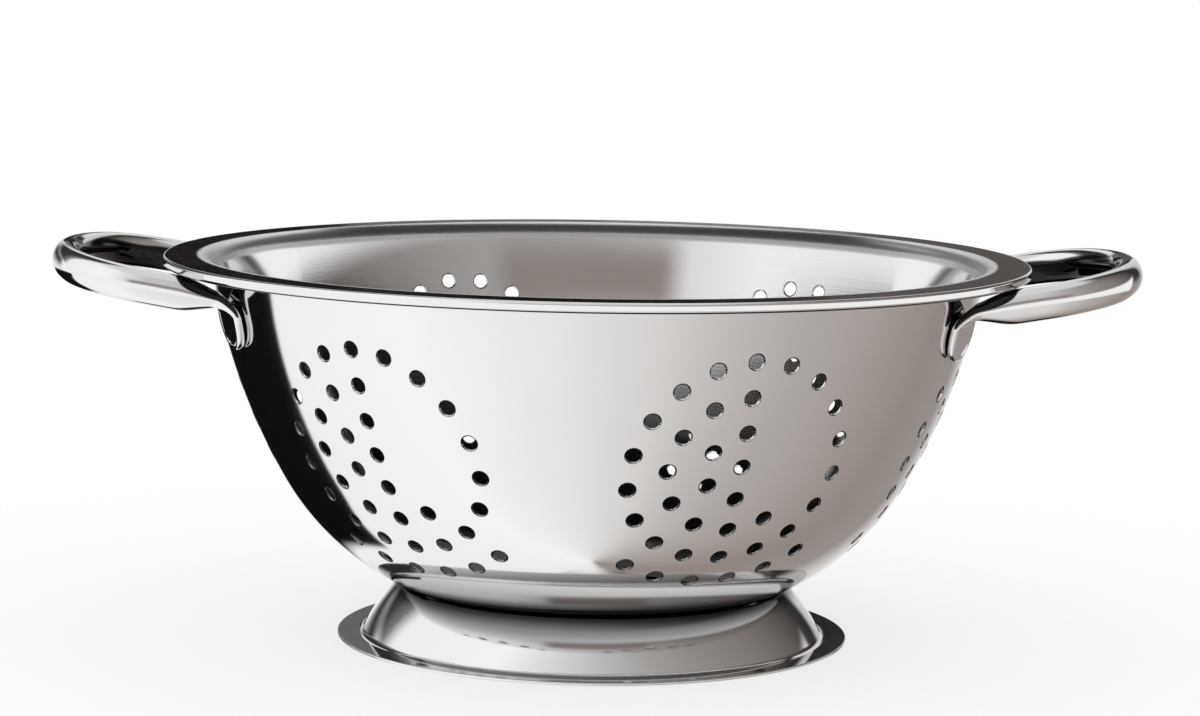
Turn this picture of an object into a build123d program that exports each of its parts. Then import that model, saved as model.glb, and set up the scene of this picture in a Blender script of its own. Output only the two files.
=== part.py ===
from build123d import *
import os
from math import asin, cos, degrees, pi, radians, sin, sqrt, tan

# A steel colander: a perforated bowl with a rolled rim, welded on a spun foot ring,
# with a loop handle of flattened tube welded to the wall at each side.
# Millimetres. +Z is up, the table is z = 0, and the handles lie along X.
# The origin is the middle of the foot. Azimuths are degrees about Z, from +X.

# Whole object
overall_height = 115.0
rim_radius = 130.0
rim_width = 13.8
loop_overhang = 29.0

# Bowl: one drawn sheet, given by its outer surface
bowl_sheet = 0.6
base_height = 9.0
base_flat_radius = 25.3
lower_arc_radius = 78.8
lower_arc_turn = 60.0
mouth_radius = rim_radius - rim_width
mouth_bend_radius = 3.4
bead_radius = 1.5
bead_turn = 240.0
bowl_chords = (1, 9, 6, 3, 1, 8)

# Drain holes: a figure is a nest of rings, ring n at n pitches and with room for 6 n holes
hole_radius = 2.2
hole_sides = 8
ring_pitch = 10.8
ring_counts = (1, 4, 8, 18)
fringe_count = 6
fringe_step = 15.5
figure_count = 6
figure_azimuth = -66.4
figure_tilt = 2.0
figure_drop = 50.5
far_figures = (2, 3, 4)
far_figure_turn = 10.0
base_rings = 3
hole_margin = 1.0

# Foot ring: one spun sheet, given by its upper and outer surface
foot_sheet = 0.8
foot_radius = 77.3
foot_lip_width = 9.0
neck_radius = 58.6
neck_bend_radius = 1.6
bell_radius = 60.0
bell_foot_radius = 69.8
foot_flange_bend = 2.2
foot_chords = (2, 4, 4, 4, 1)

# Handles: a tube loop in a tilted plane, its two ends pressed flat against the wall
tube_width = 8.5
tube_height = 10.2
loop_tilt = 9.7
loop_reach = rim_radius + loop_overhang
loop_corner_radius = 26.0
loop_tip_radius = 75.0
tongue_azimuth = 22.8
tongue_width = 17.0
tongue_thickness = 2.4
tongue_length = 10.0
tongue_bend_radius = 6.2
corner_shares = (sqrt(0.5), 0.95, 0.85)
tip_shares = (0.1, 0.4, 1.0)
bend_steps = 5
seat_steps = 20

# Fits
weld_gap = 0.15
rim_clearance = 0.2
overrun = 1.0

os.makedirs("parts", exist_ok=True)

# The bowl's outer line, with X as the radius and Y as the height
with BuildLine() as bowl_line:
    base_edge = Line((0, base_height), (base_flat_radius, base_height))
    lower_wall = JernArc(base_edge @ 1, base_edge % 1, lower_arc_radius, lower_arc_turn)
    mouth = (mouth_radius, overall_height - bowl_sheet)
    upper_wall = TangentArc(lower_wall @ 1, mouth, tangent=lower_wall % 1)
    flange_edge = Line(mouth, (rim_radius - bead_radius, overall_height - bowl_sheet))
    JernArc(flange_edge @ 1, flange_edge % 1, bead_radius - bowl_sheet, -bead_turn)
    fillet(bowl_line.vertices().sort_by_distance(flange_edge @ 0)[0], mouth_bend_radius)
wall_line = Wire([base_edge, lower_wall, upper_wall])


def sheet_outline(line, chord_counts, thickness):
    """Outline of a sheet whose one side is the line, its thickness to the left. Each run of the
    line is divided into equal chords: a sheet spun from them is a tenth of a millimetre off the
    arcs and stays light."""
    runs = line.wire().order_edges()
    stops = [(run, step / count) for run, count in zip(runs, chord_counts) for step in range(count)]
    stops.append((runs[-1], 1))
    near = [run @ share for run, share in stops]
    far = [run @ share + (run % share).rotate(Axis.Z, 90) * thickness for run, share in stops]
    return near + far[::-1]


def wall_plane(drop, azimuth):
    """Plane on the bowl's outer surface, its normal out of the wall and its Y up the wall:
    drop is measured down the wall from the mouth, and azimuth about Z."""
    along = wall_line.length - drop
    point = wall_line.position_at(along, position_mode=PositionMode.LENGTH)
    slope = wall_line.tangent_at(along, position_mode=PositionMode.LENGTH)
    side, front = cos(radians(azimuth)), sin(radians(azimuth))
    return Plane(
        origin=(point.X * side, point.X * front, point.Y),
        x_dir=(-front, side, 0),
        z_dir=(slope.Y * side, slope.Y * front, -slope.X),
    )


# Handle line: the loop's plane passes just under the rim's bead where the legs cross it
tilt = radians(loop_tilt)
leg_aside = mouth_radius * sin(radians(tongue_azimuth))
bead_crossing = sqrt((rim_radius - bead_radius) ** 2 - leg_aside**2)
bead_to_tube = bead_radius + rim_clearance + tube_height / 2
loop_origin = Vector(
    bead_crossing + bead_to_tube * sin(tilt), 0, overall_height - bead_radius - bead_to_tube * cos(tilt)
)
loop_plane = Plane(origin=loop_origin, x_dir=(cos(tilt), 0, sin(tilt)), z_dir=(-sin(tilt), 0, cos(tilt)))

# Each leg bends from the wall into that plane: its start on the wall is found in a few steps
tongue_drop = tube_height
for _ in range(seat_steps):
    seat = wall_plane(tongue_drop, tongue_azimuth)
    leg_start = seat.origin + seat.z_dir * (weld_gap + tongue_thickness / 2)
    leg_turn = radians(seat.y_dir.get_angle(loop_plane.x_dir))
    leg_end = leg_start + (seat.y_dir + loop_plane.x_dir) * (tongue_bend_radius * tan(leg_turn / 2))
    tongue_drop += (leg_end - loop_origin).dot(loop_plane.z_dir) / seat.y_dir.dot(loop_plane.z_dir)


def figure_places(turn):
    """Holes of one figure, as (across, up) on the sheet: an open nest of rings whose outer
    ring is whole, with a fringe one pitch below it."""
    places = []
    for ring, count in enumerate(ring_counts):
        for step in range(count):
            angle = radians(step * 60 / max(ring, 1) + figure_tilt + turn)
            places.append((-ring * ring_pitch * sin(angle), ring * ring_pitch * cos(angle)))
    for step in range(fringe_count):
        angle = radians(180 + (step - (fringe_count - 1) / 2) * fringe_step + figure_tilt)
        fringe_radius = len(ring_counts) * ring_pitch
        places.append((-fringe_radius * sin(angle), fringe_radius * cos(angle)))
    return places


def under_tongue(place):
    """Whether a hole at this place would run under a handle's tongue."""
    reach = hole_radius + hole_margin
    tip_height = wall_plane(tongue_drop + tongue_length, tongue_azimuth).origin.Z
    aside = Vector(abs(place.origin.X), abs(place.origin.Y)).rotate(Axis.Z, -tongue_azimuth).Y
    return abs(aside) < tongue_width / 2 + reach and place.origin.Z > tip_height - reach


def drain_holes():
    """Planes of all the holes, on the outer surface: the figures round the wall, then a rosette
    in the base."""
    places = []
    for figure in range(figure_count):
        turn = far_figure_turn if figure in far_figures else 0
        for across, up in figure_places(turn):
            level = wall_plane(figure_drop - up, 0)
            azimuth = figure_azimuth + figure * 360 / figure_count + degrees(across / level.origin.X)
            places.append(wall_plane(figure_drop - up, azimuth))
    for ring in range(base_rings + 1):
        count = max(6 * ring, 1)
        for step in range(count):
            places.append(wall_plane(wall_line.length - ring * ring_pitch, step * 360 / count))
    return [place for place in places if not under_tongue(place)]


with BuildPart() as bowl:
    with BuildSketch(Plane.XZ):
        with BuildLine():
            Polyline(*sheet_outline(bowl_line, bowl_chords, bowl_sheet), close=True)
        make_face()
    revolve(axis=Axis.Z)
    hole_turn = 2 * pi / hole_sides
    with BuildSketch(*[place.offset(overrun) for place in drain_holes()]):
        RegularPolygon(hole_radius * sqrt(hole_turn / sin(hole_turn)), hole_sides)
    extrude(amount=-2 * overrun - bowl_sheet, mode=Mode.SUBTRACT)
bowl.part.label = "bowl"
export_step(bowl.part, "parts/bowl.step")


# Foot ring: a lip that follows the bowl's underside, a flared bell and a flat flange
lip_radius = lower_arc_radius + weld_gap
lip_centre = (base_flat_radius, base_height + lower_arc_radius)
neck_angle = degrees(asin((neck_radius - base_flat_radius) / lip_radius))
lip_angle = degrees(asin((neck_radius - foot_lip_width - base_flat_radius) / lip_radius))
with BuildPart() as foot_ring:
    with BuildSketch(Plane.XZ):
        with BuildLine(mode=Mode.PRIVATE) as foot_line:
            lip = CenterArc(lip_centre, lip_radius, lip_angle - 90, neck_angle - lip_angle)
            bell = RadiusArc(lip @ 1, (bell_foot_radius, foot_sheet), bell_radius)
            Line(bell @ 1, (foot_radius, foot_sheet))
            fillet(foot_line.vertices().sort_by_distance(lip @ 1)[0], neck_bend_radius)
            fillet(foot_line.vertices().sort_by_distance((bell_foot_radius, foot_sheet))[0], foot_flange_bend)
        with BuildLine():
            Polyline(*sheet_outline(foot_line, foot_chords, -foot_sheet), close=True)
        make_face()
    revolve(axis=Axis.Z)
foot_ring.part.label = "foot_ring"
export_step(foot_ring.part, "parts/foot_ring.step")


def pressed_section(width, height, flatness):
    """Four arcs of the pressed tube's section, as point triples: an oval at flatness 0, and a
    flat bar with rounded edges at flatness 1."""
    round_share, across_share, height_share = corner_shares
    x = width / 2 * (round_share + (across_share - round_share) * flatness)
    y = height / 2 * (round_share + (height_share - round_share) * flatness)
    right, top = (width / 2, 0), (0, height / 2)
    left, bottom = (-width / 2, 0), (0, -height / 2)
    return [
        ((x, -y), right, (x, y)),
        ((x, y), top, (-x, y)),
        ((-x, y), left, (-x, -y)),
        ((-x, -y), bottom, (x, -y)),
    ]


def leg_stations():
    """Planes and sections along a leg: the tongue's rounded tip, then the bend into the tube,
    which turns from facing the wall to facing along X, and is pressed as flat as clears the wall."""
    stations = []
    tip_radius = tongue_width / 2
    for share in tip_shares:
        width = 2 * tip_radius * sqrt(1 - (1 - share) ** 2)
        seat = wall_plane(tongue_drop + tongue_length - tip_radius * share, tongue_azimuth)
        middle = seat.origin + seat.z_dir * (weld_gap + tongue_thickness / 2)
        station = Plane(origin=middle, x_dir=seat.x_dir, z_dir=seat.y_dir)
        stations.append((station, pressed_section(width, tongue_thickness, 1)))
    bend = Edge.make_tangent_arc(leg_start, wall_plane(tongue_drop, tongue_azimuth).y_dir, leg_end)
    for step in range(bend_steps + 1):
        share = step / bend_steps
        ease = share**2 * (3 - 2 * share)
        width = tongue_width + (tube_width - tongue_width) * ease
        clear = tongue_thickness + 2 * tongue_bend_radius * (1 - cos(leg_turn * share))
        height = min(tube_height, clear)
        flatness = (tube_height - height) / (tube_height - tongue_thickness)
        facing = radians(tongue_azimuth * (1 - share**2))
        across = Vector(-sin(facing), cos(facing), 0)
        along = bend % share - across * across.dot(bend % share)
        station = Plane(origin=bend @ share, x_dir=across, z_dir=along)
        stations.append((station, pressed_section(width, height, flatness)))
    return stations


# Leg: a flat tongue on the wall, which bends outwards and rounds into the tube
with BuildPart() as leg:
    for station, arcs in leg_stations():
        with BuildSketch(station):
            with BuildLine():
                for start, middle, end in arcs:
                    ThreePointArc(start, middle, end)
            make_face()
    loft(ruled=True)

# Handle: the loop is a straight run, a corner, a wide tip, a corner and a straight run
leg_local = loop_plane.to_local_coords(leg_end)
tip_centre = (loop_reach - loop_origin.X) / cos(tilt) - loop_tip_radius
corner_aside = leg_local.Y - loop_corner_radius
corner_reach = loop_tip_radius - loop_corner_radius
corner_centre = tip_centre + sqrt(corner_reach**2 - corner_aside**2)
tip_turn = degrees(asin(corner_aside / corner_reach))
with BuildPart() as right_handle:
    with BuildLine(loop_plane) as loop_line:
        Line((leg_local.X, leg_local.Y), (corner_centre, leg_local.Y))
        CenterArc((corner_centre, corner_aside), loop_corner_radius, 90, tip_turn - 90)
        CenterArc((tip_centre, 0), loop_tip_radius, tip_turn, -2 * tip_turn)
        CenterArc((corner_centre, -corner_aside), loop_corner_radius, -tip_turn, tip_turn - 90)
        Line((corner_centre, -leg_local.Y), (leg_local.X, -leg_local.Y))
    loop_wire = loop_line.wire()
    with BuildSketch(Plane(origin=loop_wire @ 0, x_dir=(0, 1, 0), z_dir=loop_wire % 0)):
        with BuildLine():
            for start, middle, end in pressed_section(tube_width, tube_height, 0):
                ThreePointArc(start, middle, end)
        make_face()
    sweep(path=loop_wire)
    add(leg.part)
    mirror(leg.part, about=Plane.XZ)
right_handle.part.label = "right_handle"
export_step(right_handle.part, "parts/right_handle.step")

with BuildPart() as left_handle:
    with Locations(Rotation(0, 0, 180)):
        add(right_handle.part)
left_handle.part.label = "left_handle"
export_step(left_handle.part, "parts/left_handle.step")
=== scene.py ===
from math import asin, atan2, copysign, cos, degrees, hypot, radians, sin, sqrt, tan

import bpy
import numpy as np
from mathutils import Matrix, Vector
from mathutils.geometry import delaunay_2d_cdt


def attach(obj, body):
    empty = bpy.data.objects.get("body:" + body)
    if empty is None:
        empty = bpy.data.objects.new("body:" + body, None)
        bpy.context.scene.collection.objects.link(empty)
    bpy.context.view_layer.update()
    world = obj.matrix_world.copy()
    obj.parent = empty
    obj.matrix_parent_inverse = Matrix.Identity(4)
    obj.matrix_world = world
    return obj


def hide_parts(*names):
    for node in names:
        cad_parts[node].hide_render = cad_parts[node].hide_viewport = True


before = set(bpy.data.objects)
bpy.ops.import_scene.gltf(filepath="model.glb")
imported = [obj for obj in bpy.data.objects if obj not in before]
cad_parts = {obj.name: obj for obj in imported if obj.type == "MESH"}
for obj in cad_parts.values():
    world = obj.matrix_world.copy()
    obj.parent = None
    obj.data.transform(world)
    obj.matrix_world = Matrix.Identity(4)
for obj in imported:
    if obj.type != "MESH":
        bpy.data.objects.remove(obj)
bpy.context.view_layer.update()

# A steel colander: perforated bowl with a rolled rim, spun foot ring and two loop handles.
# Millimetres until a piece becomes a mesh. +Z is up, the floor is z = 0, the handles lie along X.
# Azimuths are degrees about Z, from +X.

MILLIMETRE = 0.001

# Bowl
overall_height = 115.0
rim_radius = 129.95
bowl_sheet = 0.6
base_height = 9.0
base_flat_radius = 25.3
lower_arc_radius = 78.8
lower_arc_turn = 60.0
mouth_radius = 116.2
mouth_bend_radius = 3.4
bead_radius = 1.5
bead_turn = 240.0
bead_corner = 0.95
bead_face = 1.1

# Drain holes
hole_radius = 2.2
hole_lip = 0.42
hole_lip_depth = 0.2
hole_sides = 16
ring_pitch = 10.8
ring_counts = (1, 4, 8, 18)
fringe_count = 6
fringe_step = 15.5
figure_count = 6
figure_azimuth = -66.4
figure_tilt = 2.0
figure_drop = 50.5
far_figures = (2, 3, 4)
far_figure_turn = 10.0
base_counts = (1, 6, 12, 18)
hole_margin = 1.0

# Mesh of the perforated panels, in the unrolled sheet
base_panel_reach = 40.0
wall_panel_reach = 166.0
wall_unroll = 100.0
panel_pitch = 4.4
panel_clearance = 1.32
panel_margin = 1.5
seam_margin = 2.5
side_steps = 30
turn_steps = 240

# Foot ring
foot_sheet = 0.8
foot_radius = 77.3
foot_lip_width = 9.0
neck_radius = 58.6
neck_bend_radius = 1.6
bell_radius = 60.0
foot_flange_bend = 2.2
neck_heading = 24.14
bell_headings = (-45.95, -61.89)
foot_steps = 180

# Handles
tube_width = 8.5
tube_height = 10.2
loop_tilt = 9.7
loop_reach = 159.0
loop_corner_radius = 26.0
loop_tip_radius = 75.0
tongue_azimuth = 22.8
tongue_width = 17.0
tongue_thickness = 2.4
tongue_length = 10.0
tongue_bend_radius = 6.2
tongue_border = 1.1
tongue_recess = 0.35
tongue_step = 0.9
tongue_edge = 1.2
swell_length = 18.0
section_knots = (0, 12, 36, 60, 84, 96)
section_columns = 96

# Fits
weld_gap = 0.15
rim_clearance = 0.2

# Taken off the foot's edge and the tube's section, so that no piece is larger than its part in
# model.glb
foot_ease = 0.01
tube_ease = 0.04


# ---------------------------------------------------------------- lines of sheet metal


def arc(radius, turn):
    """Length and curvature of an arc that turns left by turn degrees, right if it is negative."""
    return radius * abs(radians(turn)), copysign(1 / radius, turn)


def straight(length):
    """Length and curvature of a straight run."""
    return length, 0.0


class SheetLine:
    """A plane line of arcs and straights, one after another, each tangent to the last.
    A point of a run lies a chord of length t sinc(kt/2) from its start, in the direction of the
    run's start turned by kt/2, for a distance t along it and its curvature k."""

    def __init__(self, start, heading, *runs):
        lengths, self.curvature = np.array(runs, float).T
        self.begin = np.concatenate([[0], np.cumsum(lengths)])
        turned = np.concatenate([[0], np.cumsum(lengths * self.curvature)])
        self.heading = radians(heading) + turned
        half = lengths * self.curvature / 2
        chord = lengths * np.sinc(half / np.pi)
        middle = self.heading[:-1] + half
        steps = np.stack([chord * np.cos(middle), chord * np.sin(middle)], 1)
        self.start = np.array(start) + np.concatenate([np.zeros((1, 2)), np.cumsum(steps, 0)])
        self.length = self.begin[-1]

    def at(self, along, depth=0.0):
        """Across, up and heading at a distance along the line, moved to its left by depth."""
        run = np.searchsorted(self.begin, along, side="right") - 1
        run = np.clip(run, 0, len(self.curvature) - 1)
        t = along - self.begin[run]
        half = self.curvature[run] * t / 2
        chord = t * np.sinc(half / np.pi)
        middle = self.heading[run] + half
        heading = middle + half
        across = self.start[run, 0] + chord * np.cos(middle) - depth * np.sin(heading)
        up = self.start[run, 1] + chord * np.sin(middle) + depth * np.cos(heading)
        return across, up, heading


def spun(line, along, azimuth, depth=0.0):
    """Points and outward normals of a line spun about Z: its across becomes the radius."""
    radius, height, heading = line.at(along, depth)
    side, front = np.cos(azimuth), np.sin(azimuth)
    points = np.stack([radius * side, radius * front, height + 0 * side], -1)
    lean = np.sin(heading)
    normals = np.stack([lean * side, lean * front, -np.cos(heading) + 0 * side], -1)
    return points, normals


# The bowl's outer line: flat base, lower arc, upper arc to the mouth, bend, flange and bead
lower_wall_end = (
    base_flat_radius + lower_arc_radius * sin(radians(lower_arc_turn)),
    base_height + lower_arc_radius * (1 - cos(radians(lower_arc_turn))),
)
flange_height = overall_height - bowl_sheet
chord_across = mouth_radius - lower_wall_end[0]
chord_up = flange_height - lower_wall_end[1]
chord_turn = atan2(chord_up, chord_across) - radians(lower_arc_turn)
upper_arc_radius = hypot(chord_across, chord_up) / (2 * sin(chord_turn))
upper_centre = (
    lower_wall_end[0] - upper_arc_radius * sin(radians(lower_arc_turn)),
    lower_wall_end[1] + upper_arc_radius * cos(radians(lower_arc_turn)),
)
bend_height = flange_height - mouth_bend_radius
bend_drop = bend_height - upper_centre[1]
bend_reach = sqrt((upper_arc_radius + mouth_bend_radius) ** 2 - bend_drop**2)
mouth_heading = 90 + degrees(atan2(bend_drop, bend_reach))
flange_start = upper_centre[0] + bend_reach
bowl_line = SheetLine(
    (0, base_height),
    0,
    straight(base_flat_radius),
    arc(lower_arc_radius, lower_arc_turn),
    arc(upper_arc_radius, mouth_heading - lower_arc_turn),
    arc(mouth_bend_radius, -mouth_heading),
    straight(rim_radius - bead_corner - flange_start),
    arc(bead_corner - bowl_sheet, -90),
    straight(bead_face),
    arc(bead_corner - bowl_sheet, 90 - bead_turn),
)
wall_length = (
    base_flat_radius
    + lower_arc_radius * radians(lower_arc_turn)
    + upper_arc_radius * 2 * chord_turn
)


# ---------------------------------------------------------------- pieces


class Patchwork:
    """Points, normals and faces of one piece, gathered patch by patch."""

    def __init__(self):
        self.points, self.normals, self.faces, self.count = [], [], [], 0

    def add(self, points, normals, faces, flip=False):
        """Adds one patch. A flipped one shows its other side."""
        points = np.asarray(points, float).reshape(-1, 3)
        normals = np.asarray(normals, float).reshape(-1, 3)
        faces = np.asarray(faces) + self.count
        self.points.append(points)
        self.normals.append(-normals if flip else normals)
        self.faces += (faces[:, ::-1] if flip else faces).tolist()
        self.count += len(points)

    def grid(self, points, normals, flip=False):
        """Adds a grid of rows and columns. Its faces turn from columns to rows, right-handed."""
        rows, columns = points.shape[:2]
        at = np.arange(rows * columns).reshape(rows, columns)
        corners = [at[:-1, :-1], at[:-1, 1:], at[1:, 1:], at[1:, :-1]]
        self.add(points, normals, np.stack([c.ravel() for c in corners], 1), flip)

    def mesh(self, name, own_normals=True):
        """The object: points that meet become one, and every face is smooth."""
        points = np.concatenate(self.points)
        normals = np.concatenate(self.normals)
        steps = np.round(points * 2000).astype(int)
        _, first, place = np.unique(steps, axis=0, return_index=True, return_inverse=True)
        place = place.ravel()
        faces = [place[face].tolist() for face in self.faces]
        mesh = bpy.data.meshes.new(name)
        mesh.from_pydata((points[first] * MILLIMETRE).tolist(), [], faces)
        mesh.shade_smooth()
        if own_normals:
            normals = normals[first]
            normals = normals / np.linalg.norm(normals, axis=1, keepdims=True)
            mesh.normals_split_custom_set_from_vertices(normals.tolist())
        piece = bpy.data.objects.new(name, mesh)
        bpy.context.scene.collection.objects.link(piece)
        return piece


def put_in_place(piece, node):
    """The piece is attached to the root and stands for the CAD node of that name, which is hidden.
    """
    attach(piece, "root")
    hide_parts(node)


# ---------------------------------------------------------------- bowl


def tongue_seat():
    """Where a leg leaves the wall: its distance along the bowl's line, its start, its end in
    the loop's plane and the loop's frame. The seat moves along the wall until its end meets
    the plane that passes just under the bead."""
    tilt = radians(loop_tilt)
    out = np.array([cos(tilt), 0, sin(tilt)])
    above = np.array([-sin(tilt), 0, cos(tilt)])
    leg_aside = mouth_radius * sin(radians(tongue_azimuth))
    bead_crossing = sqrt((rim_radius - bead_radius) ** 2 - leg_aside**2)
    reach = bead_radius + rim_clearance + tube_height / 2
    origin = np.array([bead_crossing, 0, overall_height - bead_radius]) - reach * above
    azimuth = radians(tongue_azimuth)
    along = wall_length - tube_height
    for _ in range(20):
        point, normal = spun(bowl_line, along, azimuth)
        heading = bowl_line.at(along)[2]
        up = np.array([cos(heading) * cos(azimuth), cos(heading) * sin(azimuth), sin(heading)])
        turn = np.arccos(up @ out)
        start = point + normal * (weld_gap + tongue_thickness / 2)
        end = start + (up + out) * tongue_bend_radius * tan(turn / 2)
        along -= (end - origin) @ above / (up @ above)
    return along, start, up, turn, end, origin, out, above


seat_along, leg_start, leg_up, leg_turn, leg_end, loop_origin, loop_out, loop_above = tongue_seat()


def drain_holes():
    """Middles of the wall's holes, as (along, azimuth): nests of rings, open inside, whole
    outside and with a fringe below. None runs under a tongue."""
    holes = []
    for figure in range(figure_count):
        turn = far_figure_turn if figure in far_figures else 0
        spots = [
            (ring * ring_pitch, radians(step * 60 / max(ring, 1) + figure_tilt + turn))
            for ring, count in enumerate(ring_counts)
            for step in range(count)
        ]
        spots += [
            (4 * ring_pitch, radians(180 + (step - 2.5) * fringe_step + figure_tilt))
            for step in range(fringe_count)
        ]
        reach, angle = np.array(spots).T
        along = wall_length - figure_drop + reach * np.cos(angle)
        middle = radians(figure_azimuth + figure * 360 / figure_count)
        azimuth = middle - reach * np.sin(angle) / bowl_line.at(along)[0]
        holes.append(np.stack([along, azimuth], 1))
    holes = np.concatenate(holes)
    points, _ = spun(bowl_line, holes[:, 0], holes[:, 1])
    x, y = np.abs(points[:, 0]), np.abs(points[:, 1])
    aside = np.abs(y * cos(radians(tongue_azimuth)) - x * sin(radians(tongue_azimuth)))
    tip_height = bowl_line.at(seat_along - tongue_length)[1]
    reach = hole_radius + hole_margin
    hidden = (aside < tongue_width / 2 + reach) & (points[:, 2] > tip_height - reach)
    return holes[~hidden]


def base_holes():
    """Middles of the base's holes, as (x, y) of the unrolled base: one hole and three rings."""
    ring = np.repeat(np.arange(len(base_counts)), base_counts)
    step = np.concatenate([np.arange(count) for count in base_counts])
    angle = 2 * np.pi * step / np.maximum(6 * ring, 1)
    return np.stack([ring * ring_pitch * np.cos(angle), ring * ring_pitch * np.sin(angle)], 1)


seam = radians(figure_azimuth + 30)


def lay_wall(flat):
    """(along, azimuth) of a point of the unrolled wall."""
    return flat[..., 1], flat[..., 0] / wall_unroll


def lay_base(flat):
    """(along, azimuth) of a point of the unrolled base."""
    return np.hypot(flat[..., 0], flat[..., 1]), np.arctan2(flat[..., 1], flat[..., 0])


def perforate(patchwork, lay, edge, fill, middles, stretch):
    """One perforated panel, with both its sides and the walls of its holes. The panel is the
    triangles between its edge, its holes' rings and its fill points in the unrolled sheet.
    A hole's wall runs through four rings: out, in by the lip, straight through, and out."""
    turn = 2 * np.pi * np.arange(hole_sides) / hole_sides
    even = np.ones_like(stretch)
    spread = np.stack([np.outer(stretch, np.cos(turn)), np.outer(even, np.sin(turn))], -1)
    rings = [middles[:, None] + radius * spread for radius in (hole_radius + hole_lip, hole_radius)]
    lip_rings = rings[0].reshape(-1, 2)
    off = (fill[:, None] - middles) / np.stack([stretch, even], -1)
    clear = np.linalg.norm(off, axis=2).min(1) > hole_radius + hole_lip + panel_clearance
    flat = np.concatenate([edge, lip_rings, fill[clear]])
    _, _, faces, which, _, _ = delaunay_2d_cdt(flat.tolist(), [], [], 0, 1e-6)
    faces = np.array(which).ravel()[np.array(faces)]
    hole = np.full(len(flat), -1)
    hole[len(edge):len(edge) + len(lip_rings)] = np.repeat(np.arange(len(middles)), hole_sides)
    owner = hole[faces]
    inside = (owner[:, 0] >= 0) & (owner[:, 0] == owner[:, 1]) & (owner[:, 0] == owner[:, 2])
    faces = faces[~inside]
    along, azimuth = lay(flat)
    for depth, flip in ((0.0, False), (bowl_sheet, True)):
        patchwork.add(*spun(bowl_line, along, azimuth, depth), faces, flip)
    count = len(middles) * hole_sides
    at = np.arange(count).reshape(-1, hole_sides)
    after = np.roll(at, -1, 1)
    walls = []
    levels = (0, 0.0), (1, hole_lip_depth), (1, bowl_sheet - hole_lip_depth), (0, bowl_sheet)
    for ring, depth in levels:
        points, normals = spun(bowl_line, *lay(rings[ring]), depth)
        if ring:
            centre, _ = spun(bowl_line, *lay(middles[:, None]), depth)
            normals = centre - points
        elif depth:
            normals = -normals
        walls.append((points, normals))
    points = np.stack([wall[0] for wall in walls])
    normals = np.stack([wall[1] for wall in walls])
    normals = normals / np.linalg.norm(normals, axis=-1, keepdims=True)
    quads = np.stack([at, after, after + count, at + count], -1)
    quads = np.concatenate([quads + row * count for row in range(len(levels) - 1)])
    patchwork.add(points, normals, quads.reshape(-1, 4), True)


def fill_points(low, high):
    """A triangular grid of points between two corners of the unrolled sheet."""
    across = np.arange(low[0], high[0], panel_pitch)
    up = np.arange(low[1], high[1], panel_pitch * sqrt(3) / 2)
    x, y = np.meshgrid(across, up)
    x = x + (np.arange(len(up)) % 2)[:, None] * panel_pitch / 2
    points = np.stack([x.ravel(), y.ravel()], 1)
    return points[points[:, 0] < high[0]]


def make_bowl():
    """The drawn bowl: a perforated base, a perforated wall, and the bend, flange and bead."""
    bowl = Patchwork()
    turns = seam + 2 * np.pi * np.arange(turn_steps + 1) / turn_steps
    coarse = turns[::2]

    edge = base_panel_reach * np.stack([np.cos(coarse[:-1]), np.sin(coarse[:-1])], 1)
    fill = fill_points((-base_panel_reach, -base_panel_reach), (base_panel_reach, base_panel_reach))
    fill = fill[np.hypot(fill[:, 0], fill[:, 1]) < base_panel_reach - panel_margin]
    middles = base_holes()
    perforate(bowl, lay_base, edge, fill, middles, np.ones(len(middles)))

    left, right = turns[0] * wall_unroll, turns[-1] * wall_unroll
    sides = np.linspace(base_panel_reach, wall_panel_reach, side_steps)[1:-1]
    edge = np.concatenate([
        np.stack([coarse * wall_unroll, np.full(len(coarse), base_panel_reach)], 1),
        np.stack([turns * wall_unroll, np.full(len(turns), wall_panel_reach)], 1),
        np.stack([np.full(len(sides), left), sides], 1),
        np.stack([np.full(len(sides), right), sides], 1),
    ])
    fill = fill_points(
        (left + seam_margin, base_panel_reach + seam_margin),
        (right - panel_margin, wall_panel_reach - panel_margin),
    )
    along, azimuth = drain_holes().T
    azimuth = seam + (azimuth - seam) % (2 * np.pi)
    middles = np.stack([azimuth * wall_unroll, along], 1)
    perforate(bowl, lay_wall, edge, fill, middles, wall_unroll / bowl_line.at(along)[0])

    bend, flange, bead, face, curl, end = bowl_line.begin[3:]
    rim = np.concatenate([
        np.linspace(wall_panel_reach, bend, 4)[:-1],
        np.linspace(bend, flange, 13)[:-1],
        np.linspace(flange, bead, 5)[:-1],
        np.linspace(bead, face, 12)[:-1],
        np.linspace(face, curl, 4)[:-1],
        np.linspace(curl, end, 20),
    ])
    along, azimuth = np.meshgrid(rim, turns, indexing="ij")
    for depth, flip in ((0.0, False), (bowl_sheet, True)):
        bowl.grid(*spun(bowl_line, along, azimuth, depth), flip)
    depth, azimuth = np.meshgrid([0.0, bowl_sheet], turns, indexing="ij")
    points, normals = spun(bowl_line, np.full(depth.shape, end), azimuth, depth)
    bowl.grid(points, normals)
    return bowl.mesh("bowl_shell")


# ---------------------------------------------------------------- foot ring


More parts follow.
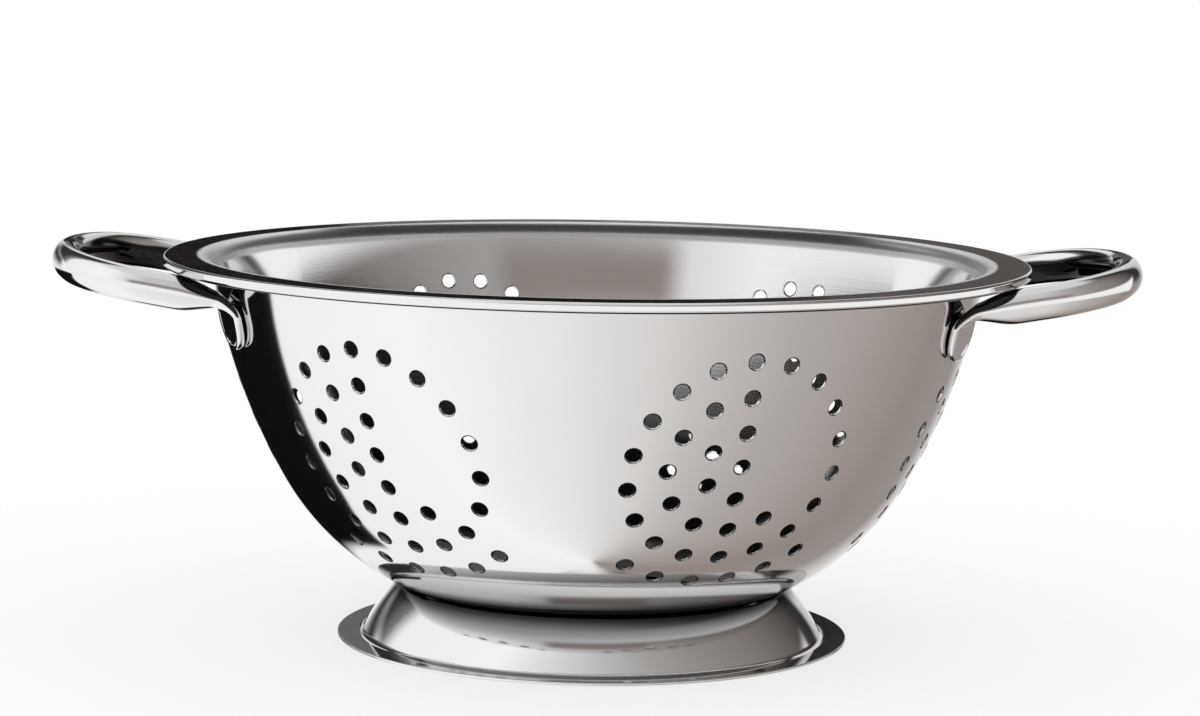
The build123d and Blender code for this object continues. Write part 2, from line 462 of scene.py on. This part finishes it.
def make_foot():
    """The spun foot: a lip under the bowl, a neck, a bell and a flange, with rolled edges. The
    sheet's section is its line, moved to each side by half its thickness, with half-round ends."""
    lip_radius = lower_arc_radius + weld_gap
    lip_heading = degrees(asin((neck_radius - foot_lip_width - base_flat_radius) / lip_radius))
    lip_start = (
        base_flat_radius + lip_radius * sin(radians(lip_heading)),
        base_height + lower_arc_radius - lip_radius * cos(radians(lip_heading)),
    )
    runs = [
        arc(lip_radius, neck_heading - lip_heading),
        arc(neck_bend_radius, bell_headings[0] - neck_heading),
        arc(bell_radius, bell_headings[1] - bell_headings[0]),
        arc(foot_flange_bend, -bell_headings[1]),
    ]
    reach, height, _ = SheetLine(lip_start, lip_heading, *runs).at(sum(run[0] for run in runs))
    lip_start = (lip_start[0], lip_start[1] + foot_sheet - height)
    foot_line = SheetLine(lip_start, lip_heading, *runs, straight(foot_radius - foot_ease - reach))
    half = foot_sheet / 2
    knots = foot_line.begin
    along = np.concatenate([
        np.linspace(half, knots[1], 8)[:-1],
        np.linspace(knots[1], knots[2], 13)[:-1],
        np.linspace(knots[2], knots[3], 13)[:-1],
        np.linspace(knots[3], knots[4], 13)[:-1],
        np.linspace(knots[4], knots[5] - half, 7),
    ])
    middle = np.concatenate([along, np.full(7, along[-1]), along[::-1], np.full(7, along[0])])
    roll = np.concatenate([
        np.full(len(along), 90.0), np.linspace(90, -90, 9)[1:-1],
        np.full(len(along), -90.0), np.linspace(270, 90, 9)[1:-1],
    ])
    middle, roll = np.append(middle, middle[0]), radians(1) * np.append(roll, 90.0)
    azimuth = 2 * np.pi * np.arange(foot_steps + 1) / foot_steps
    middle, azimuth_grid = np.meshgrid(middle, azimuth, indexing="ij")
    roll = roll[:, None] + 0 * azimuth_grid
    radius, height, heading = foot_line.at(middle, -half)
    radius = radius + half * (np.cos(roll) * np.cos(heading) - np.sin(roll) * np.sin(heading))
    height = height + half * (np.cos(roll) * np.sin(heading) + np.sin(roll) * np.cos(heading))
    side, front = np.cos(azimuth_grid), np.sin(azimuth_grid)
    lean = np.cos(roll + heading)
    points = np.stack([radius * side, radius * front, height], -1)
    normals = np.stack([lean * side, lean * front, np.sin(roll + heading)], -1)
    foot = Patchwork()
    foot.grid(points, -normals, True)
    return foot.mesh("foot_shell")


# ---------------------------------------------------------------- handles


def smooth(share):
    """A share between 0 and 1 with a soft start and a soft end."""
    return share**2 * (3 - 2 * share)


def make_handle(name, side):
    """A handle of tube, for side 1 at +X and -1 at -X. Half of it is a section carried along
    the tongue, the leg's bend and the loop, up to the loop's tip; the other half mirrors it.
    The section is two half-ovals that slide apart where the tube is pressed flat."""
    azimuth = radians(tongue_azimuth)

    # Tongue: down the wall from its tip to the seat
    tip_share = 1 - np.cos(np.linspace(0.02, 0.5, 12) * np.pi)
    share = np.concatenate([tip_share, np.linspace(1.15, 2.0, 9)])
    tip_radius = tongue_width / 2
    from_tip = np.interp(share, (0, 1, 2), (0, tip_radius, tongue_length))
    along = seat_along - tongue_length + from_tip
    foot, outward = spun(bowl_line, along, np.full(len(along), azimuth))
    tongue = foot + outward * (weld_gap + tongue_thickness / 2)
    heading = bowl_line.at(along)[2]
    level = np.cos(heading)
    tongue_along = np.stack([level * cos(azimuth), level * sin(azimuth), np.sin(heading)], 1)

    # Bend: an arc from the wall's direction to the loop's
    inward = loop_out - (loop_out @ leg_up) * leg_up
    inward = inward / np.linalg.norm(inward)
    bend_share = np.linspace(0, 1, 25)[1:]
    turn = leg_turn * bend_share[:, None]
    bend = leg_start + tongue_bend_radius * (np.sin(turn) * leg_up + (1 - np.cos(turn)) * inward)
    bend_along = np.cos(turn) * leg_up + np.sin(turn) * inward

    # Loop: straight run, corner and half the tip, in the loop's plane
    start = ((leg_end - loop_origin) @ loop_out, leg_end[1])
    tip_centre = (loop_reach - loop_origin[0]) / cos(radians(loop_tilt)) - loop_tip_radius
    corner_aside = start[1] - loop_corner_radius
    corner_reach = loop_tip_radius - loop_corner_radius
    corner_centre = tip_centre + sqrt(corner_reach**2 - corner_aside**2)
    tip_turn = degrees(asin(corner_aside / corner_reach))
    loop_line = SheetLine(
        start,
        0,
        straight(corner_centre - start[0]),
        arc(loop_corner_radius, tip_turn - 90),
        arc(loop_tip_radius, -tip_turn),
    )
    loop_at = np.linspace(0, loop_line.length, 57)[1:]
    out, aside, heading = loop_line.at(loop_at)
    sideways = np.array([0, 1, 0])
    loop = loop_origin + out[:, None] * loop_out + aside[:, None] * sideways
    loop_along = np.cos(heading)[:, None] * loop_out + np.sin(heading)[:, None] * sideways

    # Frames: across turns from the wall's to the loop's, and above is square to both
    facing = azimuth * np.concatenate([np.ones(len(along)), 1 - bend_share**2])
    near_across = np.stack([-np.sin(facing), np.cos(facing), 0 * facing], 1)
    loop_across = np.cross(loop_above, loop_along)
    path = np.concatenate([tongue, bend, loop])
    ahead = np.concatenate([tongue_along, bend_along, loop_along])
    across = np.concatenate([near_across, loop_across])
    ahead = ahead - (ahead * across).sum(1, keepdims=True) * across
    above = np.cross(ahead, across)
    above = above / np.linalg.norm(above, axis=1, keepdims=True)

    # Sizes of the section along the path
    pressed = np.concatenate([np.zeros(len(along)), bend_share, np.ones(len(loop))])
    width = tongue_width + (tube_width - tube_ease - tongue_width) * smooth(pressed)
    swell = tongue_bend_radius * leg_turn * pressed
    swell[-len(loop):] += loop_at
    swell = np.clip(swell / swell_length, 0, 1)
    height = tongue_thickness + (tube_height - tube_ease - tongue_thickness) * smooth(swell)
    rounding = np.clip(from_tip / tip_radius, 0, 1)
    width[:len(along)] *= np.sqrt(1 - (1 - rounding) ** 2)
    edge = np.clip(from_tip / tongue_edge, 0, 1)
    height[:len(along)] *= np.sqrt(1 - (1 - edge) ** 2)
    round_share = np.clip((height - tongue_thickness) / (tube_height - tongue_thickness), 0, 1)
    round_share[:len(along)] = 0
    half, thick = width[:, None] / 2, height[:, None] / 2
    end = np.minimum(half, thick + (half - thick) * round_share[:, None])

    # Section columns
    column = np.arange(section_columns + 1)
    flat_turn = np.interp(column, section_knots, (0, 90, 90, 270, 270, 360))
    round_turn = column * 360 / section_columns
    slide = np.interp(column, section_knots, (1, 1, -1, -1, 1, 1))
    angle = np.radians(flat_turn + (round_turn - flat_turn) * round_share[:, None])
    x = (half - end) * slide + end * np.cos(angle)
    z = thick * np.sin(angle)

    # The tongue's outer face is pressed in, inside a border that follows its outline. The
    # recess fades along the bend.
    from_end = np.concatenate([from_tip, np.full(len(path) - len(along), tip_radius)])[:, None]
    from_outline = tip_radius - np.hypot(x, tip_radius - from_end)
    inset = np.where(from_end < tip_radius, from_outline, half - np.abs(x))
    sunk = smooth(np.clip((inset - tongue_border) / tongue_step, 0, 1))
    fade = np.clip(1.25 - 1.6 * pressed[:, None], 0, 1)
    z = np.where(z < 0, z + tongue_recess * sunk * fade * np.clip(-z / thick, 0, 1), z)

    points = path[:, None] + x[..., None] * across[:, None] + z[..., None] * above[:, None]
    handle = Patchwork()
    for mirror in (1, -1):
        grid = points * np.array([side, side * mirror, 1])
        handle.grid(grid, grid, mirror < 0)
        cap = grid[0, :-1]
        handle.add(cap, cap, np.arange(section_columns)[None], mirror > 0)
    return handle.mesh(name, own_normals=False)


bowl = make_bowl()
foot = make_foot()
right_handle = make_handle("right_handle_tube", 1)
left_handle = make_handle("left_handle_tube", -1)
put_in_place(bowl, "bowl")
put_in_place(foot, "foot_ring")
put_in_place(right_handle, "right_handle")
put_in_place(left_handle, "left_handle")


# ---------------------------------------------------------------- finishes


class Signal:
    """A number that a shader works out. An expression on it adds the Math nodes."""

    def __init__(self, recipe, socket):
        self.recipe, self.socket = recipe, socket

    def maths(self, operation, *terms):
        return self.recipe.node("ShaderNodeMath", {"operation": operation}, *terms)

    def __add__(self, other):
        return self.maths("ADD", self, other)

    def __radd__(self, other):
        return self.maths("ADD", other, self)

    def __sub__(self, other):
        return self.maths("SUBTRACT", self, other)

    def __rsub__(self, other):
        return self.maths("SUBTRACT", other, self)

    def __mul__(self, other):
        return self.maths("MULTIPLY", self, other)

    def __rmul__(self, other):
        return self.maths("MULTIPLY", other, self)

    def __pow__(self, other):
        return self.maths("POWER", self, other)


class Recipe:
    """Shader nodes of one material or of the world, added one call at a time."""

    def __init__(self, owner):
        owner.use_nodes = True
        self.tree = owner.node_tree
        self.tree.nodes.clear()

    def node(self, kind, settings=None, *values, out=0, **named):
        """A node of that kind. Settings come first, then values or links by place or name."""
        made = self.tree.nodes.new(kind)
        for key, value in (settings or {}).items():
            if key == "stops":
                ramp = made.color_ramp.elements
                while len(ramp) < len(value):
                    ramp.new(1.0)
                for stop, (place, colour) in zip(ramp, value):
                    stop.position, stop.color = place, colour
            else:
                setattr(made, key, value)
        pairs = list(enumerate(values))
        pairs += [(key.replace("_", " "), value) for key, value in named.items()]
        for key, value in pairs:
            if isinstance(value, Signal):
                self.tree.links.new(value.socket, made.inputs[key])
            elif value is not None:
                made.inputs[key].default_value = value
        return Signal(self, made.outputs[out]) if made.outputs else None

    def blend(self, share, first, second):
        """Colour between two others."""
        settings = {"data_type": "RGBA"}
        return self.node("ShaderNodeMix", settings, share, *[None] * 5, first, second, out=2)

    def ramp(self, place, stops):
        """Colour at a place along stops of (place, colour)."""
        return self.node("ShaderNodeValToRGB", {"stops": stops}, place)

    def step(self, value, low, high):
        """0 below low and 1 above high, smooth between them."""
        settings = {"interpolation_type": "SMOOTHSTEP"}
        return self.node("ShaderNodeMapRange", settings, value, low, high, 0.0, 1.0)


# Where the steel is darker or duller: two limits each, between which it changes. The darker places
# low inside and low outside the bowl, under the rim, inside the loops and in the fold over the foot
# are painted shade. Heights and reaches from Z are in metres, and facing is the upward part of the
# surface's direction.
inner_facing = (-0.02, 0.02)
deep_height = (0.055, 0.083)
base_facing, base_top = (0.6, 0.97), (0.012, 0.02)
low_height = (0.018, 0.03)
under_facing, under_height = (0.3, 0.6), (0.1085, 0.1095)
bend_facing, bend_limit, bend_top = (0.0, 0.1), (0.119, 0.1205), (0.1095, 0.111)
fold_reach = (0.0593, 0.0625)
loop_end, loop_inward, loop_height = (0.14, 0.155), (0.42, 0.62), (0.0985, 0.102)

# How fast a loop's side changes at its middle, and how much of facing counts against inward, in the
# mask of the painted shade inside the loops
loop_sharpness = 50
loop_rise = 0.8

# The share of the steel's colour that is left there, under the painted shade, on the base and in
# the cloudiness, and the roughness that is added
deep_painted_shade, base_shade, low_painted_shade, under_painted_shade = 0.45, 0.75, 0.3, 0.03
fold_painted_shade, loop_painted_shade, cloud_shade = 0.12, 0.03, 0.94
deep_dulling, base_dulling, bend_dulling = 0.03, 0.25, 0.3

# The marks' scale along a tube, as a share of their scale across it
mark_stretch = 0.05


def darker(colour, share):
    """A share of an opaque colour."""
    return tuple(share * channel for channel in colour[:3]) + (1,)


def steel(name, colour, roughness, marks, part):
    """Polished steel: a little cloudiness in its colour and gloss, and faint polishing marks
    that run round the piece or along it. Shade is painted into its colour low inside and outside
    the bowl, under its rim, inside the loops and in the fold over the foot. It is also darker and
    duller on the base, and duller on the bend of the mouth."""
    material = bpy.data.materials.new(name)
    recipe = Recipe(material)
    place = recipe.node("ShaderNodeTexCoord", out="Object")
    split = recipe.node("ShaderNodeSeparateXYZ", None, place)
    x, y, z = (Signal(recipe, socket) for socket in split.socket.node.outputs)
    cloud = recipe.node("ShaderNodeTexNoise", None, place, Scale=38.0, Detail=4.0, Roughness=0.6)
    fine = recipe.node("ShaderNodeTexNoise", None, place, Scale=900.0, Detail=2.0, Roughness=0.5)
    if marks == "round":
        reach = (x * x + y * y) ** 0.5
        track = recipe.node("ShaderNodeCombineXYZ", None, reach, z, 0.0)
    else:
        track = recipe.node("ShaderNodeCombineXYZ", None, x * mark_stretch, y * mark_stretch, z)
    lines = recipe.node("ShaderNodeTexNoise", None, track, Scale=2600.0, Detail=3.0, Roughness=0.6)
    tint = recipe.blend(cloud, darker(colour, cloud_shade), colour)
    normal = recipe.node("ShaderNodeTexCoord", out="Normal")
    normal = recipe.node("ShaderNodeSeparateXYZ", None, normal)
    turn_x, turn_y, facing = (Signal(recipe, socket) for socket in normal.socket.node.outputs)
    # Painted shade: the lower side of each loop that faces into the loop is darkened in the colour.
    if part == "loop":
        beside = y.maths("MINIMUM", y.maths("MAXIMUM", y * loop_sharpness, -1.0), 1.0)
        beyond = recipe.step(x.maths("ABSOLUTE", x), *loop_end) * x.maths("SIGN", x)
        inward = 0 - (turn_x * beyond + turn_y * beside) - loop_rise * facing
        painted_loop_mask = recipe.step(inward, *loop_inward) * recipe.step(z, *loop_height)
        tint = recipe.blend(painted_loop_mask, tint, darker(colour, loop_painted_shade))
    # Painted shade: the foot is darkened in the colour inside the reach of its neck, in the fold
    # under the bowl.
    if part == "foot":
        fold = 1 - recipe.step(reach, *fold_reach)
        tint = recipe.blend(fold, tint, darker(colour, fold_painted_shade))
    if part == "bowl":
        # Painted shade: the inside of the bowl is darkened in the colour below the deep height, and
        # made a little duller.
        deep_shade_and_dulling = recipe.step(facing, *inner_facing) * (1 - recipe.step(z, *deep_height))
        base = recipe.step(facing, *base_facing) * (1 - recipe.step(z, *base_top))
        # Painted shade: the outside of the bowl is darkened in the colour low down, just above the
        # foot.
        low = (1 - recipe.step(facing, *inner_facing)) * (1 - recipe.step(z, *low_height))
        # Painted shade: a dark line on the downward-facing underside of the rolled rim.
        under = recipe.step(0 - facing, *under_facing) * recipe.step(z, *under_height)
        bend = recipe.step(facing, *bend_facing) * (1 - recipe.step(reach, *bend_limit))
        bend = bend * recipe.step(z, *bend_top)
        masks = (deep_shade_and_dulling, base, low, under)
        for mask, share in zip(masks, (deep_painted_shade, base_shade, low_painted_shade, under_painted_shade)):
            tint = recipe.blend(mask, tint, darker(colour, share))
        roughness = roughness + deep_dulling * deep_shade_and_dulling + base_dulling * base + bend_dulling * bend
    gloss = roughness + 0.05 * (cloud - 0.5) + 0.02 * (lines - 0.5) + 0.015 * (fine - 0.5)
    bump = recipe.node("ShaderNodeBump", None, Strength=0.02, Distance=0.0001, Height=lines)
    surface = recipe.node(
        "ShaderNodeBsdfPrincipled", None,
        Base_Color=tint, Metallic=1.0, Roughness=gloss, Normal=bump,
    )
    recipe.node("ShaderNodeOutputMaterial", None, surface)
    return material


def dress(piece, material):
    """Gives the whole piece one material."""
    piece.data.materials.clear()
    piece.data.materials.append(material)


dress(bowl, steel("bowl_steel", (0.93, 0.925, 0.92, 1), 0.07, "round", "bowl"))
dress(foot, steel("foot_steel", (0.92, 0.915, 0.91, 1), 0.07, "round", "foot"))
tube_steel = steel("tube_steel", (0.92, 0.915, 0.91, 1), 0.08, "along", "loop")
dress(right_handle, tube_steel)
dress(left_handle, tube_steel)


# ---------------------------------------------------------------- studio

scene = bpy.context.scene
scene.view_settings.view_transform = "Standard"

floor_reach = 0.9
floor_drop = 0.0002
floor_fade = (0.09, 0.4)
floor_glow = 0.68
floor_rings = 45
floor_sides = 96

flag_height = 135.0
flag_near = 22.0
flag_far = 126.0
flag_spread = 90.0
flag_reach = 96.0


def tone(level, warmth=0.0):
    """A grey of the studio, a little towards brown where warmth is above 0."""
    return (level * (1 + warmth), level * (1 - 0.15 * warmth), level * (1 - 0.7 * warmth), 1)


def make_floor():
    """A pale round floor whose edge fades into the backdrop."""
    reach = np.linspace(0, floor_reach, floor_rings + 1)
    turn = 2 * np.pi * np.arange(floor_sides + 1) / floor_sides
    reach, turn = np.meshgrid(reach, turn, indexing="ij")
    points = np.stack([reach * np.cos(turn), reach * np.sin(turn), 0 * reach - floor_drop], -1)
    points = points / MILLIMETRE
    normals = np.broadcast_to((0, 0, 1), points.shape)
    floor = Patchwork()
    floor.grid(points[1:], normals[1:], True)
    floor.add(points[1, :-1], normals[1, :-1], np.arange(floor_sides)[None])
    piece = floor.mesh("floor", own_normals=False)
    material = bpy.data.materials.new("pale_floor")
    recipe = Recipe(material)
    place = recipe.node("ShaderNodeTexCoord", out="Object")
    away = recipe.node("ShaderNodeVectorMath", {"operation": "LENGTH"}, place, out="Value")
    glossy = recipe.node("ShaderNodeLightPath", out="Is Glossy Ray")
    fade = (1 - recipe.step(away, *floor_fade)) * (1 - glossy)
    paint = recipe.node("ShaderNodeBsdfDiffuse", None, tone(0.97))
    glow = recipe.node("ShaderNodeEmission", None, tone(1.0))
    paint = recipe.node("ShaderNodeMixShader", None, floor_glow, paint, glow)
    clear = recipe.node("ShaderNodeBsdfTransparent", None)
    surface = recipe.node("ShaderNodeMixShader", None, fade, clear, paint)
    recipe.node("ShaderNodeOutputMaterial", None, surface)
    dress(piece, material)


# What the steel sees below the horizon and above it: (bearing, tone). Bearings are degrees from
# the camera's side of the object, to its right, and heights are degrees above the horizon.
low_tones = (
    (-180, tone(0.9)), (-60, tone(1.0)), (-12, tone(0.86)), (14, tone(0.74, 0.02)),
    (36, tone(0.58, 0.04)), (62, tone(0.45, 0.06)), (95, tone(0.36, 0.1)), (125, tone(0.27, 0.14)),
    (152, tone(0.3, 0.1)), (170, tone(0.8)), (180, tone(0.9)),
)
high_tones = (
    (-180, tone(0.8)), (-168, tone(0.8)), (-163, tone(0.03)), (-151, tone(0.03)),
    (-143, tone(0.05)), (-132, tone(0.2)), (-122, tone(0.95)), (-55, tone(1.0)), (-25, tone(0.75)),
    (5, tone(0.55)), (35, tone(0.38, 0.04)), (65, tone(0.28, 0.05)), (95, tone(0.22, 0.08)),
    (125, tone(0.12, 0.1)), (147, tone(0.03)), (153, tone(0.03)), (158, tone(0.6)),
    (180, tone(0.8)),
)
top_tone = tone(0.7)
horizon_blend = (-6.0, 4.0)
top_blend = (56.0, 72.0)
# What is left of the light each time that it has gone from steel to steel
bounce_share = 0.8
# Cards of light or dark over that: the corners in bearing and height, anticlockwise as seen on
# the sky, the softness of their edges and their tone
cards = (
    (((-210, -11), (130, -11), (140, 10), (-210, 10)), 3.0, tone(0.95)),
    (((-26, 13), (33, 13), (33, 28), (-26, 28)), 6.0, tone(0.25, 0.12)),
    (
        ((-172, -16), (-141, -43), (-126, -37), (-112, -12), (-112, -8), (-168, -8)),
        1.0, tone(0.004),
    ),
    (((-210, -80), (-148, -80), (-148, -52), (-172, -36), (-210, -24)), 5.0, tone(0.02)),
    (((143, -80), (210, -80), (210, -24), (168, -28), (147, -52)), 5.0, tone(0.012)),
    (((-165, -2), (-138, -2), (-138, 11), (-165, 11)), 7.0, tone(0.03)),
    (((-210, 2), (-168, 2), (-168, 9), (-210, 9)), 1.0, tone(0.25)),
    (((168, 2), (210, 2), (210, 9), (168, 9)), 1.0, tone(0.3)),
    (((-210, 5.1), (-168, 5.1), (-168, 9), (-210, 9)), 0.12, tone(0.006, 0.3)),
    (((-176, 3.6), (-168, 3.6), (-168, 7), (-176, 7)), 0.3, tone(0.006, 0.3)),
    (((-210, 9), (-168, 9), (-168, 14), (-210, 14)), 1.0, tone(0.12)),
    (((168, 5.1), (210, 5.1), (210, 9), (168, 9)), 0.12, tone(0.08, 0.1)),
    (((168, 3.6), (176, 3.6), (176, 7), (168, 7)), 0.3, tone(0.08, 0.1)),
    (((168, 9), (210, 9), (210, 14), (168, 14)), 1.0, tone(0.01)),
)


def make_world():
    """White all round for the camera and for plain light. The steel sees a studio of tones and
    cards instead, darker each time that the light has gone from steel to steel."""
    world = bpy.data.worlds.new("studio")
    scene.world = world
    recipe = Recipe(world)
    way = recipe.node("ShaderNodeTexCoord", out="Generated")
    split = recipe.node("ShaderNodeSeparateXYZ", None, way)
    x, y, z = (Signal(recipe, socket) for socket in split.socket.node.outputs)
    bearing = x.maths("ARCTAN2", x, 0 - y) * degrees(1)
    height = z.maths("ARCSINE", z) * degrees(1)
    around = (bearing + 180) * (1 / 360)
    low, high = (
        recipe.ramp(around, [((place + 180) / 360, colour) for place, colour in tones])
        for tones in (low_tones, high_tones)
    )
    seen = recipe.blend(recipe.step(height, *horizon_blend), low, high)
    seen = recipe.blend(recipe.step(height, *top_blend), seen, top_tone)
    for corners, soft, colour in cards:
        mask = 1.0
        for (left, bottom), (right, top) in zip(corners, corners[1:] + corners[:1]):
            reach = hypot(right - left, top - bottom)
            across, up = (right - left) / reach, (top - bottom) / reach
            edge = bottom * across - left * up
            mask = mask * recipe.step(height * across - bearing * up, edge - soft, edge + soft)
        seen = recipe.blend(mask, seen, colour)
    glossy = recipe.node("ShaderNodeLightPath", out="Is Glossy Ray")
    depth = Signal(recipe, glossy.socket.node.outputs["Ray Depth"])
    bounces = depth.maths("MAXIMUM", depth - 2, 0.0)
    left_over = bounces.maths("POWER", bounce_share, bounces)
    seen = recipe.blend(left_over, tone(0.0), seen)
    sky = recipe.node("ShaderNodeBackground", None, recipe.blend(glossy, tone(1.0), seen), 1.0)
    recipe.node("ShaderNodeOutputWorld", None, sky)


def make_flag():
    """A dark card just above the mouth, seen only by the steel. It keeps the drain holes dark.
    Its near edge is a parabola and its far edge is straight."""
    across, along = np.meshgrid(np.linspace(-flag_reach, flag_reach, 25), np.linspace(0, 1, 3))
    near = flag_near + across**2 / flag_spread
    away = near + (np.maximum(flag_far, near) - near) * along
    points = np.stack([across, away, 0 * near + flag_height], -1)
    flag = Patchwork()
    flag.grid(points, np.broadcast_to((0.0, 0.0, 1.0), points.shape))
    piece = flag.mesh("flag", own_normals=False)
    material = bpy.data.materials.new("dark_card")
    recipe = Recipe(material)
    place = recipe.node("ShaderNodeTexCoord", out="Object")
    cloud = recipe.node("ShaderNodeTexNoise", None, place, Scale=30.0)
    dark = recipe.blend(cloud, tone(0.003), tone(0.006))
    paint = recipe.node("ShaderNodeBsdfDiffuse", None, dark)
    recipe.node("ShaderNodeOutputMaterial", None, paint)
    dress(piece, material)
    piece.visible_camera = piece.visible_diffuse = piece.visible_shadow = False


camera_pitch = 7.0624
camera_roll = 0.9594
camera_distance = 1.1
camera_target = (0.001192, 0, 0.084203)
sensor_width = 36.0
focal_pixels = 3643.31
picture_pixels = 1200


def make_camera():
    """The camera of the photograph's view: level direction +Y, looking slightly down."""
    pitch, roll = radians(camera_pitch), radians(camera_roll)
    forward = Vector((0, cos(pitch), -sin(pitch)))
    right = Vector((1, 0, 0))
    up = Vector((0, sin(pitch), cos(pitch)))
    right, up = right * cos(roll) + up * sin(roll), up * cos(roll) - right * sin(roll)
    data = bpy.data.cameras.new("camera")
    data.sensor_width = sensor_width
    data.lens = sensor_width * focal_pixels / picture_pixels
    data.clip_start, data.clip_end = 0.05, 20.0
    camera = bpy.data.objects.new("camera", data)
    scene.collection.objects.link(camera)
    turned = Matrix((right, up, -forward)).transposed().to_4x4()
    place = Vector(camera_target) - forward * camera_distance
    camera.matrix_world = Matrix.Translation(place) @ turned
    scene.camera = camera


make_floor()
make_flag()
make_world()
make_camera()
